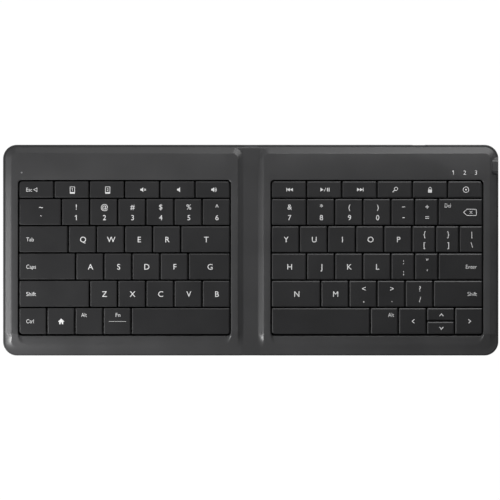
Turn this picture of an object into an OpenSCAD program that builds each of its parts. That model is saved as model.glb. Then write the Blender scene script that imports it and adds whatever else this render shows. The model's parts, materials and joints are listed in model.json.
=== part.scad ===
// Folding keyboard, lying open, in millimetres.
// Two keyed halves fold like a book about a narrow spine, which carries a hinge on each side.
// The origin is under the middle of the open keyboard. X runs to the right along its length,
// Y runs away from the person typing, and Z is up. The right half is drawn as it lies, and
// the left half is its mirror image wherever the two are alike.

/* [Overall] */
// Length of the open keyboard, side to side
open_w = 295; // [265:1:320]
// Depth, front to back
open_d = 125.5; // [113:0.5:138]
// Height of the raised rims above the table
deck_h = 5.3; // [5.2:0.1:6.5]
// Radius of the four outer corners in plan
corner_r = 8.3; // [7:0.1:12]

/* [Outer shells] */
// Height of the joint between the bottom shells and the deck frames
part_z = 2.0; // [1.9:0.05:2.1]
// Height at which the upright outer wall starts to round over
wall_top = 2.3; // [2.2:0.05:2.6]
// Width of the rounded edge above the wall
round_w = 1.3; // [0.8:0.1:2]
// Height of that rounded edge
round_h = 0.8; // [0.5:0.05:1.1]
// Width from the outer edge to the flat deck
bevel_w = 5.05; // [4:0.05:6]
// Radius of the lower edge, where the bottom turns up into the wall
foot_r = 1.2; // [0.6:0.1:1.6]
// Thickness of the outer wall
shell_w = 1.2; // [0.9:0.1:1.5]
// Thickness of the deck over the rear and side bays
deck_t = 1.0; // [0.7:0.05:1.2]
// Least thickness of the bevel over the bays
bevel_t = 0.8; // [0.6:0.05:1]
// Thickness of the bottom shell's floor
floor_t = 0.8; // [0.6:0.05:0.9]
// Thickness of the wall round each key well
skirt_t = 1.0; // [0.7:0.05:1.2]

/* [Front lip] */
// Height of the low front lip behind, where it meets the keys
lip_back_h = 3.35; // [3.2:0.05:3.8]
// Height of the lip at its front edge
lip_front_h = 2.95; // [2.7:0.05:3.1]
// Length over which the side rims come down to the lip
ramp_d = 5.4; // [4:0.1:7]
// How far the rims close in on the lip as they come down
ramp_flare = 1.8; // [0.5:0.1:2.5]

/* [Spine and hinges] */
// Distance of each hinge axis from the middle of the keyboard
hinge_x = 3.7; // [3.6:0.05:4.2]
// Height of the hinge axes
hinge_z = 1.9; // [1.85:0.05:2.0]
// Outer radius of the hinge knuckles
barrel_r = 1.1; // [1.0:0.05:1.15]
// Radius of the hinge pins
pin_r = 0.5; // [0.4:0.05:0.6]
// Running clearance round the pins
pin_clear = 0.04; // [0.02:0.01:0.08]
// Height of the skin on top of the spine
spine_h = 3.25; // [3.2:0.05:3.3]
// Thickness of the soft skin over and under the spine
skin_t = 0.25; // [0.15:0.05:0.3]
// Space between the spine and a half when it is folded
fold_clear = 0.35; // [0.3:0.05:0.6]
// Distance from the middle to the flat deck of each half
deck_in = 7.7; // [7.5:0.1:9]
// Number of knuckles along each axis, spine and leaf by turns
knuckles = 7; // [5:2:9]
// Space between one knuckle and the next
knuckle_gap = 0.2; // [0.1:0.05:0.4]
// Thickness of the hinge leaves
leaf_t = 0.7; // [0.5:0.05:0.8]
// How far the front and rear ends of a leaf stop short of the outer wall
leaf_short = 4.5; // [3:0.1:8]
// Width of each leaf inside its half
leaf_w = 5.0; // [4:0.1:5.2]
// Width of the flat cable through the spine
flex_w = 9; // [5:1:11]

/* [Key wells] */
// Distance from the middle to the first column of keys
well_in = 12.2; // [12:0.1:14]
// Distance from the last column of keys to the side edge
side_rim = 9.43; // [9.4:0.01:14]
// Depth of the deck behind the keys
rear_band = 21.39; // [20:0.01:22]
// Depth of the function row
fn_row_d = 10.53; // [9.5:0.01:11]
// Depth of the lip and the ramps in front of the keys
front_band = 12.43; // [12.4:0.01:15]
// Width of one letter key with its gap
key_pitch = 16.74; // [16:0.01:17.4]
// Width of the caps lock key with its gap
caps_w = 33.9; // [30:0.1:36]
// Gap between keys, and between the keys and the well
key_gap = 0.92; // [0.7:0.01:1.2]
// Radius of the keys that sit in a corner of the well
well_r = 1.8; // [1:0.1:2.5]

/* [Keys] */
// How far the key tops lie below the deck
key_drop = 0.2; // [0.1:0.05:0.6]
// Travel of a key
key_travel = 1.2; // [0.8:0.05:1.25]
// Width of the bevel round a key top
key_bevel_w = 0.6; // [0.3:0.05:0.8]
// Height of that bevel
key_bevel_h = 0.32; // [0.15:0.01:0.5]
// Chamfer of a keycap's upright corners
key_corner = 0.35; // [0.2:0.05:0.6]
// Thickness of a keycap's sides
key_wall = 0.8; // [0.6:0.05:1]
// Thickness of a keycap's top
key_top_t = 0.7; // [0.5:0.05:0.8]

/* [Switch layers] */
// Height of the underside of the switch plate
plate_z = 1.5; // [1.4:0.05:1.5]
// Thickness of the switch plate
plate_t = 0.4; // [0.3:0.05:0.45]
// Thickness of the contact sheet on the plate
sheet_t = 0.2; // [0.1:0.05:0.25]
// How far the plate reaches under the well's wall
plate_lap = 0.8; // [0.4:0.05:0.85]
// Half length of a scissor link
link_l = 3.6; // [2.8:0.1:4]
// Half width of the outer scissor link
link_s = 3.2; // [3.1:0.05:3.4]
// Thickness of a scissor link
link_t = 0.35; // [0.25:0.05:0.45]
// Width of a scissor link's side bars
link_bar = 0.6; // [0.4:0.05:0.65]
// Radius of a rubber dome at its foot
dome_r = 1.5; // [1.1:0.05:1.55]

/* [Electronics] */
// Length of the battery
battery_l = 84; // [60:1:100]
// Width of the battery
battery_w = 14; // [10:0.5:14]
// Height of the battery
battery_h = 3.1; // [2:0.1:3.3]
// Height of the underside of the circuit board
board_z = 1.2; // [1.1:0.05:1.3]
// Thickness of the circuit board
board_t = 0.6; // [0.5:0.05:0.65]
// Distance of the charging socket from the right side edge
usb_side = 47.5; // [40:0.5:60]
// Width of the charging socket's shell
usb_w = 7.5; // [7:0.1:8]
// Height of the socket's shell
usb_h = 2.3; // [2.2:0.05:2.3]
// Width of the socket's mouth
usb_mouth_w = 6.85; // [6.5:0.05:6.9]
// Height of the socket's mouth
usb_mouth_h = 1.8; // [1.6:0.05:1.85]
// Length of the socket
usb_l = 5.2; // [5:0.1:5.6]
// Height of the socket's underside
usb_z = 0.45; // [0.4:0.05:0.5]
// Space between the battery and the wall behind the keys
battery_gap = 0.5; // [0.3:0.1:1]
// Length of each closing magnet
magnet_l = 16; // [8:1:24]
// Width of each closing magnet
magnet_w = 4; // [3:0.1:4.2]
// Height of each closing magnet
magnet_h = 2.4; // [1.5:0.1:2.5]

/* [Lights and power button] */
// Distance of the middle indicator from the right side edge
light_side = 20.2; // [18.5:0.1:27]
// Distance between indicators
light_pitch = 6.7; // [5:0.1:7]
// Distance of the indicators behind the keys
light_y = 4.8; // [4:0.1:6]
// Radius of an indicator lens
light_r = 1.7; // [1:0.05:2]
// Distance of the charging light from the left side edge
charge_side = 11.2; // [10.5:0.1:14]
// Radius of the charging light
charge_r = 0.45; // [0.3:0.05:0.8]
// Distance of the power button behind the keys
button_y = 8.2; // [7:0.1:9]
// Length of the power button
button_l = 9.0; // [7:0.1:9.6]
// Width of the power button
button_w = 3.55; // [3:0.05:3.7]
// How far the power button's top lies below the deck
button_drop = 0.3; // [0.2:0.05:0.6]
// Travel of the power button
button_travel = 0.4; // [0.3:0.05:0.45]

/* [Hidden] */

$fn = 64;
eps = 0.01;
fit = 0.03;                    // space round a lens in its hole
slack = 0.1;                   // space round the power button and the charging socket
stop_gap = 0.1;                // what is left under a key or button that is fully pressed
edge_in = 0.15;                // how far the power button's side lies inside the outer edge
usb_in = 0.4;                  // how far the socket's mouth lies inside the rear edge
bay_step = 2;                  // width of the step in a bay's roof
bay_gap = 0.15;                // how far the roof's last step stays clear of the bevel
plate_gap = 0.1;               // space round the switch plate
rib_t = 1.2;                   // thickness of the ribs under the switch plate
rail_gap = 0.2;                // space between the leaf and the end of its slot
flex_gap = 0.2;                // space on each side of the flat cable
flex_lift = 0.15;              // how far the flat cable lies above what it runs over
flex_room = 0.5;               // height of the flat cable's channel
end_gap = 0.1;                 // how far the soft skin and the flat tails stop short
link_foot = 0.8;               // length of a scissor link's foot
link_gap = 0.15;               // space between a scissor link and the keycap's side
nest_gap = 0.3;                // space between the two links of a scissor
dome_gap = 0.1;                // space between a dome and the links
dome_taper = 0.6;              // width of a dome's top as a share of its foot
long_key_w = 40;               // keys from this width on have two scissors
core_gap = 0.3;                // space between the bar of the spine and what lies beside it
core_end = 0.25;               // how far the bar of the spine stops short of the skin's ends
notch_gap = 0.15;              // space between the bar and a leaf's knuckle
pin_end = 1.5;                 // how far the pins stop short of the ends
post_r = 1.3;                  // radius of the posts under the circuit board
wall_gap = 0.5;                // space between the circuit board and the walls
rear_gap = 2.2;                // the same at the rear, where the bevel comes down
lamp = [1.6, 1, 0.5];          // size of a lamp on the circuit board
switch_size = [2.4, 3.2];      // width and depth of the power switch
magnet_gap = 0.4;              // space between the magnets and the wall beside the keys
tab = [3.5, 1, 0.6];           // battery's tab: length, how much narrower, share of the height
button_side = 0.8;             // height of the power button's upright ends
button_slope = 1.3;            // length of the slopes that lead up to its top
// What is soldered to the circuit board besides lamps and switch: place, width, depth, height
chips = [[12, 3, 12, 8, 1.2], [34, 3.5, 7, 7, 0.9], [48, 5, 4, 3, 0.8], [2, 2, 3, 8, 1.5]];
skin_grey = [0.30, 0.30, 0.31];
key_grey = [0.20, 0.20, 0.21];
board_green = [0.10, 0.30, 0.18];

side_x = open_w / 2;
rear_y = open_d / 2;
spine_top = spine_h - skin_t;
spine_foot = hinge_z - barrel_r;
half_in = hinge_x + (spine_h - hinge_z) + fold_clear;

well_w = side_x - well_in - side_rim;
well_x0 = well_in;
well_x1 = well_in + well_w;
well_y1 = rear_y - rear_band;
well_y0 = -rear_y + front_band;
row_d = (well_y1 - well_y0 - fn_row_d) / 5;

sheet_z = plate_z + plate_t;
sheet_top = sheet_z + sheet_t;
key_top = deck_h - key_drop;
key_z = sheet_top + key_travel + stop_gap;
key_h = key_top - key_z;
cap_z = key_top - key_top_t;

bay_y0 = well_y1 + key_gap / 2 + skirt_t;
bay_in = well_x0;
light_x = side_x - light_side;
light_row_y = well_y1 + light_y;
charge_x = side_x - charge_side;
button_cy = well_y1 + button_y;
button_z = wall_top + button_travel + stop_gap;
usb_x = side_x - usb_side;
leaf_span = open_d - 2 * (shell_w + leaf_short);
tail_end = well_in + leaf_w;

board_x0 = bay_in + 6;
board_x1 = side_x - shell_w - wall_gap;
board_y0 = bay_y0 + wall_gap;
board_y1 = rear_y - shell_w - rear_gap;
board_top = board_z + board_t;

knuckle_l = open_d / knuckles;
// The flat cable crosses in the middle of the spine knuckle nearest the middle
flex_zone = 2 * floor((knuckles + 1) / 4);
flex_y = -rear_y + (flex_zone + 0.5) * knuckle_l;

// Height of the outer surface at a distance e in from the outer edge
function outer_z(e) = wall_top + round_h
    + (e - round_w) / (bevel_w - round_w) * (deck_h - wall_top - round_h);

// ---------- Key layout ----------
// A row is a list of [part, width]. The rows run from the function row to the front.
p = key_pitch;
n = (well_w - 5 * p) / 3;      // the narrow keys at the right end of a row
f = well_w / 6;                // a function key
wide = (well_w - 4 * p) / 2;   // tab, T, N and the right shift
space = well_w - 4 * p;

left_rows = [
    [for (i = [1 : 6]) ["left_function_keys", f]],
    [["left_number_keys", well_w - 6 * p], for (i = [1 : 6]) ["left_number_keys", p]],
    [["left_modifier_keys", wide], ["key_q", p], ["key_w", p], ["key_e", p], ["key_r", p],
        ["key_t", wide]],
    [["left_modifier_keys", caps_w], ["key_a", p], ["key_s", p], ["key_d", p], ["key_f", p],
        ["key_g", well_w - 4 * p - caps_w]],
    [["left_modifier_keys", well_w - 5 * p], ["key_z", p], ["key_x", p], ["key_c", p],
        ["key_v", p], ["key_b", p]],
    [for (i = [1 : 4]) ["left_modifier_keys", p], ["left_space_key", space]]
];
right_rows = [
    [for (i = [1 : 6]) ["right_function_keys", f]],
    [["right_number_keys", f], for (i = [1 : 3]) ["right_number_keys", p],
        for (i = [1 : 2]) ["right_number_keys", n],
        ["right_number_keys", well_w - f - 3 * p - 2 * n]],
    [["key_y", p], ["key_u", p], ["key_i", p], ["key_o", p], ["key_p", p],
        for (i = [1 : 3]) ["right_symbol_keys", n]],
    [["key_h", f], ["key_j", p], ["key_k", p], ["key_l", p],
        for (i = [1 : 2]) ["right_symbol_keys", n],
        ["enter_key", well_w - f - 3 * p - 2 * n]],
    [["key_n", wide], ["key_m", p], for (i = [1 : 3]) ["right_symbol_keys", p],
        ["right_modifier_keys", wide]],
    [["right_space_key", space], for (i = [1 : 2]) ["right_modifier_keys", p],
        ["arrow_pair", p], ["right_modifier_keys", p]]
];

// Start of key i of a row, measured from the row's left end
function start_of(row, i) = i == 0 ? 0 : start_of(row, i - 1) + row[i - 1][1];
// Front and depth of row r
function row_front(r) = r == 0 ? well_y1 - fn_row_d : well_y1 - fn_row_d - r * row_d;
function row_depth(r) = r == 0 ? fn_row_d : row_d;

// Every key of a half as [part, middle x, middle y, width, depth, row end, row],
// where row end is -1 for the first key of a row, 1 for the last, and 0 between them
function cells(rows, x0) = [
    for (r = [0 : len(rows) - 1], i = [0 : len(rows[r]) - 1])
        let (
            row = rows[r],
            w = row[i][1],
            cx = x0 + start_of(row, i) + w / 2,
            cy = row_front(r) + row_depth(r) / 2,
            end = i == 0 ? -1 : i == len(row) - 1 ? 1 : 0
        )
        each row[i][0] == "arrow_pair"
            ? [for (s = [-1, 1])
                ["right_modifier_keys", cx, cy + s * row_depth(r) / 4, w - key_gap,
                    row_depth(r) / 2 - key_gap, end, r]]
            : [[row[i][0], cx, cy, w - key_gap, row_depth(r) - key_gap, end, r]]
];
left_cells = cells(left_rows, -well_x1);
right_cells = cells(right_rows, well_x0);

// ---------- Shared outlines ----------

// Plan of the right half, drawn in by inset on every side
module half_plan(inset = 0) {
    r = corner_r - inset;
    x0 = half_in + inset;
    x1 = side_x - inset;
    y1 = rear_y - inset;
    translate([x0, -y1]) square([x1 - r - x0, 2 * y1]);
    translate([x1 - r - eps, -y1 + r]) square([r + eps, 2 * (y1 - r)]);
    for (s = [-1, 1]) translate([x1 - r, s * (y1 - r)]) circle(r);
}

// Plan of the right key well, grown by grow on every side
module well_plan(grow = 0) {
    g = key_gap / 2 + grow;
    r = well_r + key_gap / 2;
    translate([well_x0 - g, well_y0 - g + r]) square([well_w + 2 * g, well_y1 - well_y0 + 2 * (g - r)]);
    translate([well_x0 - g + r, well_y0 - g]) square([well_w + 2 * (g - r), well_y1 - well_y0 + 2 * g]);
    for (x = [well_x0 - g + r, well_x1 + g - r], y = [well_y0 - g + r, well_y1 + g - r])
        translate([x, y]) circle(r);
}

// What the rounded edge and the bevel take off, with the outer edge at x = 0
module edge_section() {
    polygon([
        [1, wall_top], [0, wall_top],
        [-round_w * 0.3, wall_top + round_h * 0.55],
        [-round_w, wall_top + round_h],
        [-bevel_w, deck_h], [-bevel_w, deck_h + 1], [1, deck_h + 1]
    ]);
}

// What the turned-up lower edge takes off
module foot_section() {
    polygon([
        [1, -1], [1, foot_r], [0, foot_r],
        [-foot_r * 0.3, foot_r * 0.3],
        [-foot_r, 0], [-foot_r, -1]
    ]);
}

// Carries an edge section round the outer edge of the right half
module round_half() {
    run_y = open_d - 2 * corner_r;
    run_x = side_x - corner_r - half_in + 1;
    translate([side_x, run_y / 2, 0]) rotate([90, 0, 0]) linear_extrude(run_y) children();
    for (m = [0, 1]) mirror([0, m, 0]) {
        translate([half_in - 1, rear_y, 0])
            rotate([90, 0, 90]) linear_extrude(run_x) children();
        translate([side_x - corner_r, rear_y - corner_r, 0])
            rotate_extrude(angle = 90) translate([corner_r, 0]) children();
    }
}

// Everything above the lip and the ramps that lead down to it, lowered by drop
module front_cut(drop = 0) {
    y0 = well_y0 - key_gap / 2;
    fall = deck_h - lip_back_h;
    translate([-side_x - 1, 0, -drop]) rotate([90, 0, 90]) linear_extrude(open_w + 2)
        polygon([
            [y0, deck_h + drop + 1], [y0, deck_h],
            [y0 - ramp_d * 0.28, deck_h - fall * 0.12],
            [y0 - ramp_d * 0.72, deck_h - fall * 0.80],
            [y0 - ramp_d, lip_back_h],
            [-rear_y + round_w, lip_front_h],
            [-rear_y - 1, lip_front_h], [-rear_y - 1, deck_h + drop + 1]
        ]);
}

// The low band in front of the keys, closed in by the rims as they come down
module front_band_cut() {
    y0 = well_y0 - key_gap / 2;
    x0 = well_x0 - key_gap / 2;
    x1 = well_x1 + key_gap / 2;
    translate([0, 0, lip_back_h]) linear_extrude(deck_h)
        polygon([
            [x0, y0 + well_r + key_gap], [x0, y0], [x0 + ramp_flare, y0 - ramp_d],
            [x1 - ramp_flare, y0 - ramp_d], [x1, y0], [x1, y0 + well_r + key_gap]
        ]);
}

// Room for the hinge leaf, clamped between the shells of a half
module leaf_slot() {
    translate([half_in - 1, -leaf_span / 2, hinge_z - leaf_t / 2])
        cube([leaf_w + 1, leaf_span, leaf_t]);
}

// Room for the charging socket in the rear wall
module usb_slot() {
    translate([usb_x - usb_w / 2 - slack, rear_y - usb_in - usb_l - slack, usb_z - slack])
        cube([usb_w + 2 * slack, usb_l + usb_in + slack + 1, usb_h + 2 * slack]);
}

// ---------- Deck frames ----------

// The bays behind the keys and beside them, stepped to follow the bevel
module bays() {
    steps = [
        [shell_w, outer_z(shell_w) - bevel_t],
        [shell_w + bay_step, outer_z(shell_w + bay_step) - bevel_t],
        [bevel_w + bay_gap, deck_h - deck_t]
    ];
    difference() {
        for (s = steps) translate([0, 0, part_z - 1]) linear_extrude(s[1] - part_z + 1) half_plan(s[0]);
        linear_extrude(deck_h) well_plan(skirt_t);
        translate([0, -rear_y, 0]) cube([bay_in, open_d, deck_h]);
        translate([0, -rear_y, 0])
            cube([side_x, well_y0 - key_gap / 2 - skirt_t + rear_y, deck_h]);
    }
}

module half_frame() {
    difference() {
        translate([0, 0, part_z]) linear_extrude(deck_h - part_z) half_plan();
        round_half() edge_section();
        translate([0, rear_y + 1, 0]) rotate([90, 0, 0]) linear_extrude(open_d + 2)
            polygon([
                [half_in - 1, spine_h], [half_in, spine_h], [deck_in, deck_h],
                [deck_in, deck_h + 1], [half_in - 1, deck_h + 1]
            ]);
        front_cut();
        front_band_cut();
        linear_extrude(deck_h + 1) well_plan();
        linear_extrude(sheet_top) well_plan(plate_lap + plate_gap);
        leaf_slot();
        bays();
    }
}

module left_frame() {
    color(skin_grey) mirror([1, 0, 0]) difference() {
        half_frame();
        translate([charge_x, light_row_y, part_z]) cylinder(h = deck_h, r = charge_r + fit);
    }
}

module right_frame() {
    color(skin_grey) difference() {
        half_frame();
        for (i = [-1 : 1])
            translate([light_x + i * light_pitch, light_row_y, part_z])
                cylinder(h = deck_h, r = light_r + fit);
        translate([side_x - edge_in - button_w - slack, button_cy - button_l / 2 - slack, wall_top])
            cube([button_w + 2, button_l + 2 * slack, deck_h]);
        usb_slot();
    }
}

// ---------- Bottom shells ----------

// Ribs that carry the switch plate: one under each edge of it and one between rows
module plate_ribs() {
    x0 = well_x0 - (key_gap + rib_t) / 2;
    run = well_w + key_gap + rib_t;
    rise = plate_z - floor_t + eps;
    for (y = [well_y1, for (r = [0 : 5]) row_front(r)])
        translate([x0, y - rib_t / 2, floor_t - eps]) cube([run, rib_t, rise]);
    for (x = [x0, x0 + run - rib_t])
        translate([x, well_y0, floor_t - eps]) cube([rib_t, well_y1 - well_y0, rise]);
}

module half_base() {
    rail_x = half_in + leaf_w + rail_gap;
    difference() {
        union() {
            difference() {
                linear_extrude(part_z) half_plan();
                translate([0, 0, floor_t]) linear_extrude(part_z) difference() {
                    half_plan(shell_w);
                    translate([0, -rear_y]) square([rail_x, open_d]);
                }
            }
            plate_ribs();
        }
        round_half() foot_section();
        leaf_slot();
        translate([half_in - 1, flex_y - flex_w / 2 - flex_gap, floor_t])
            cube([tail_end - half_in + 2, flex_w + 2 * flex_gap, flex_room]);
    }
}

module left_base() {
    color(skin_grey) mirror([1, 0, 0]) half_base();
}

module right_base() {
    post_x = [board_x0 + 3 * post_r, (board_x0 + usb_x) / 2, board_x1 - corner_r];
    post_y = [board_y0 + post_r, board_y1 - 1.4 * post_r];
    color(skin_grey) {
        difference() {
            half_base();
            usb_slot();
        }
        for (x = post_x, y = post_y)
            translate([x, y, floor_t - eps]) cylinder(h = board_z - floor_t + eps, r = post_r);
    }
}

// ---------- Switch layers ----------

module plate_plan() {
    well_plan(plate_lap);
}

module half_plate() {
    translate([0, 0, plate_z]) linear_extrude(plate_t) plate_plan();
}

// The contact sheet on the plate, and its flat tail towards the spine
module half_sheet() {
    translate([0, 0, sheet_z]) linear_extrude(sheet_t) plate_plan();
    translate([half_in + end_gap, flex_y - flex_w / 2, floor_t + flex_lift])
        cube([tail_end - half_in - 2 * end_gap, flex_w, sheet_t]);
}

module left_switch_plate() {
    color("silver") mirror([1, 0, 0]) half_plate();
}

module right_switch_plate() {
    color("silver") half_plate();
}

module left_contact_sheet() {
    color("darkseagreen") mirror([1, 0, 0]) half_sheet();
}

module right_contact_sheet() {
    color("darkseagreen") half_sheet();
}

// One link of a scissor, l and s its half length and half width: a slanted window frame that
// rises to the right where dir is 1
module link(l, s, dir) {
    rise = cap_z - sheet_top;
    mirror([dir > 0 ? 0 : 1, 0, 0]) difference() {
        translate([0, s, sheet_top]) rotate([90, 0, 0]) linear_extrude(2 * s)
            polygon([
                [-l, 0], [-l + link_foot, 0],
                [l, rise - link_t], [l, rise], [l - link_foot, rise], [-l, link_t]
            ]);
        translate([-l + link_bar, -s + link_bar, sheet_top - 1])
            cube([2 * (l - link_bar), 2 * (s - link_bar), rise + 2]);
    }
}

// A dome under the middle of a key and a scissor round it, or two scissors under a long key
module key_switch(w, d) {
    l = min(link_l, w / 2 - key_wall - link_gap);
    s = min(link_s, d / 2 - key_wall - link_gap);
    inner_s = s - link_bar - nest_gap;
    r = min(dome_r, inner_s - link_bar - dome_gap);
    translate([0, 0, sheet_top]) cylinder(h = cap_z - sheet_top, r1 = r, r2 = r * dome_taper);
    for (x = w > long_key_w ? [-w * 0.3, w * 0.3] : [0]) translate([x, 0, 0]) {
        link(l, s, 1);
        link(l, inner_s, -1);
    }
}

module left_key_switches() {
    color("ivory") for (c = left_cells) translate([c[1], c[2], 0]) key_switch(c[3], c[4]);
}

module right_key_switches() {
    color("ivory") for (c = right_cells) translate([c[1], c[2], 0]) key_switch(c[3], c[4]);
}

// ---------- Keys ----------

// Plan of a keycap: chamfered corners, and a round one where the key sits in the well's corner
function corner_points(w, d, sx, sy, r) = let (a0 = sx > 0 ? (sy > 0 ? 0 : 270) : (sy > 0 ? 90 : 180))
    r > key_corner
        ? [for (i = [0 : 4]) [sx * (w / 2 - r) + r * cos(a0 + i * 22.5),
            sy * (d / 2 - r) + r * sin(a0 + i * 22.5)]]
        : [for (i = [0, 1]) [sx * (w / 2 - r) + r * cos(a0 + i * 90),
            sy * (d / 2 - r) + r * sin(a0 + i * 90)]];

function corner_of(c, sx, sy) =
    c[5] == sx && (sy > 0 ? c[6] == 0 : c[6] == 5) ? well_r : key_corner;

module bevelled(half) {
    polygon([
        [-half, key_z], [half, key_z], [half, key_top - key_bevel_h],
        [half - key_bevel_w, key_top], [-half + key_bevel_w, key_top],
        [-half, key_top - key_bevel_h]
    ]);
}

module keycap(c) {
    w = c[3];
    d = c[4];
    translate([c[1], c[2], 0]) difference() {
        intersection() {
            translate([0, 0, key_z]) linear_extrude(key_h) polygon(concat(
                corner_points(w, d, 1, 1, corner_of(c, 1, 1)),
                corner_points(w, d, -1, 1, corner_of(c, -1, 1)),
                corner_points(w, d, -1, -1, corner_of(c, -1, -1)),
                corner_points(w, d, 1, -1, corner_of(c, 1, -1))
            ));
            translate([0, d / 2 + 1, 0]) rotate([90, 0, 0]) linear_extrude(d + 2) bevelled(w / 2);
            translate([-w / 2 - 1, 0, 0]) rotate([90, 0, 90]) linear_extrude(w + 2) bevelled(d / 2);
        }
        translate([-w / 2 + key_wall, -d / 2 + key_wall, key_z - 1])
            cube([w - 2 * key_wall, d - 2 * key_wall, cap_z - key_z + 1]);
    }
}

// Every keycap that belongs to one part
module keys(part) {
    color(key_grey) {
        for (c = left_cells) if (c[0] == part) keycap(c);
        for (c = right_cells) if (c[0] == part) keycap(c);
    }
}

// ---------- Hinge ----------

// Length along Y that knuckle i takes, with the spine's at even places
module knuckle_zone(i, grow, box) {
    y0 = -rear_y + i * knuckle_l;
    translate([box[0], y0 + knuckle_gap / 2 - grow, box[1]])
        cube([box[2], knuckle_l - knuckle_gap + 2 * grow, box[3]]);
}

module pin_bores(r) {
    for (s = [-1, 1]) translate([s * hinge_x, rear_y + 1, hinge_z])
        rotate([90, 0, 0]) cylinder(h = open_d + 2, r = r);
}

module half_leaf() {
    arm_x = hinge_x + (pin_r + pin_clear + barrel_r) / 2;
    translate([half_in, -leaf_span / 2, hinge_z - leaf_t / 2]) cube([leaf_w, leaf_span, leaf_t]);
    for (i = [1 : 2 : knuckles - 2]) {
        knuckle_zone(i, 0, [arm_x, hinge_z - leaf_t / 2, half_in - arm_x + 1, leaf_t]);
        translate([hinge_x, -rear_y + (i + 1) * knuckle_l - knuckle_gap / 2, hinge_z])
            rotate([90, 0, 0]) difference() {
                cylinder(h = knuckle_l - knuckle_gap, r = barrel_r);
                translate([0, 0, -1]) cylinder(h = knuckle_l + 2, r = pin_r + pin_clear);
            }
    }
}

module left_hinge_leaf() {
    color("dimgray") mirror([1, 0, 0]) half_leaf();
}

module right_hinge_leaf() {
    color("dimgray") half_leaf();
}

// A bar with a hinge barrel along each side, cut away where the leaves' knuckles sit
module spine_core() {
    run = open_d - 2 * core_end;
    foot_z = skin_t + end_gap;
    notch_x = hinge_x - barrel_r - notch_gap;
    color("dimgray") difference() {
        union() {
            translate([-hinge_x, -run / 2, spine_foot]) cube([2 * hinge_x, run, 2 * barrel_r]);
            translate([-hinge_x + core_gap, -run / 2, foot_z])
                cube([2 * (hinge_x - core_gap), run, spine_foot - foot_z + eps]);
            for (s = [-1, 1]) translate([s * hinge_x, run / 2, hinge_z])
                rotate([90, 0, 0]) cylinder(h = run, r = barrel_r);
        }
        pin_bores(pin_r + pin_clear);
        front_cut(skin_t);
        for (i = [1 : 2 : knuckles - 2], m = [0, 1])
            mirror([m, 0, 0]) knuckle_zone(i, knuckle_gap, [notch_x, -1, half_in, deck_h]);
        translate([-hinge_x, flex_y - flex_w / 2 - flex_gap, 0])
            cube([2 * hinge_x, flex_w + 2 * flex_gap, foot_z + core_gap]);
    }
}

// The soft covering on top of the spine and under it
module spine_skin() {
    top_x = hinge_x - leaf_t;
    foot_x = hinge_x - core_gap;
    run = open_d - 2 * end_gap;
    color(skin_grey) {
        difference() {
            translate([-top_x, -run / 2, spine_top]) cube([2 * top_x, run, skin_t]);
            front_cut();
        }
        translate([-foot_x, -run / 2, end_gap]) cube([2 * foot_x, run, skin_t]);
    }
}

module hinge_pins() {
    color("silver") for (s = [-1, 1]) translate([s * hinge_x, rear_y - pin_end, hinge_z])
        rotate([90, 0, 0]) cylinder(h = open_d - 2 * pin_end, r = pin_r);
}

// The flat cable between the halves, where it crosses the spine
module hinge_flex() {
    foot_x = hinge_x - core_gap - end_gap;
    color("darkorange") translate([-foot_x, flex_y - flex_w / 2, skin_t + flex_lift])
        cube([2 * foot_x, flex_w, sheet_t]);
}

// ---------- Electronics ----------

module left_battery() {
    x1 = (battery_l - bay_in - side_x + shell_w) / 2;
    y0 = bay_y0 + battery_gap;
    color("lightsteelblue") {
        translate([x1 - battery_l, y0, floor_t]) cube([battery_l, battery_w, battery_h]);
        translate([x1, y0 + tab[1] / 2, floor_t])
            cube([tab[0], battery_w - tab[1], battery_h * tab[2]]);
    }
}

module half_magnets() {
    x1 = well_x1 + key_gap / 2 + skirt_t + magnet_gap;
    for (q = [1, 3]) translate([x1, well_y0 + q * (well_y1 - well_y0) / 4 - magnet_l / 2, floor_t])
        cube([magnet_w, magnet_l, magnet_h]);
}

module left_magnets() {
    color("gray") mirror([1, 0, 0]) half_magnets();
}

module right_magnets() {
    color("gray") half_magnets();
}

// The circuit board with what is soldered to it: chips, lamps and the power switch
module main_board() {
    switch_x = board_x1 - switch_size[0] - wall_gap / 2;
    ear_r = corner_r - shell_w - wall_gap;
    color(board_green) difference() {
        translate([board_x0, board_y0, board_z])
            cube([board_x1 - board_x0, board_y1 - board_y0, board_t]);
        usb_slot();
        translate([board_x1 - ear_r + 1, rear_y - shell_w - wall_gap - ear_r + 1, board_z - 1])
            cube([ear_r, ear_r, board_t + 2]);
    }
    color("black") for (c = chips)
        translate([board_x0 + c[0], board_y0 + c[1], board_top]) cube([c[2], c[3], c[4]]);
    color("white") for (i = [-1 : 1])
        translate([light_x + i * light_pitch - lamp[0] / 2, light_row_y - lamp[1] / 2, board_top])
            cube(lamp);
    color("silver") translate([switch_x, button_cy - switch_size[1] / 2, board_top])
        cube([switch_size[0], switch_size[1], button_z - button_travel - stop_gap / 2 - board_top]);
}

module usb_socket() {
    wall = (usb_w - usb_mouth_w) / 2;
    mouth_z = usb_z + (usb_h - usb_mouth_h) / 2;
    back_y = rear_y - usb_in - usb_l + 2 * wall;
    tongue_w = usb_mouth_w * 0.55;
    color("silver") difference() {
        translate([usb_x - usb_w / 2, rear_y - usb_in - usb_l, usb_z]) cube([usb_w, usb_l, usb_h]);
        translate([usb_x - usb_mouth_w / 2, back_y, mouth_z])
            cube([usb_mouth_w, usb_l, usb_mouth_h]);
    }
    color("black") translate([usb_x - tongue_w / 2, back_y - eps, mouth_z + usb_mouth_h * 0.5])
        cube([tongue_w, usb_l * 0.65, usb_mouth_h * 0.33]);
}

// ---------- Lights and power button ----------

module charge_light() {
    color("white") translate([-charge_x, light_row_y, deck_h - deck_t - 1])
        cylinder(h = deck_t + 1, r = charge_r);
}

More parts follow.
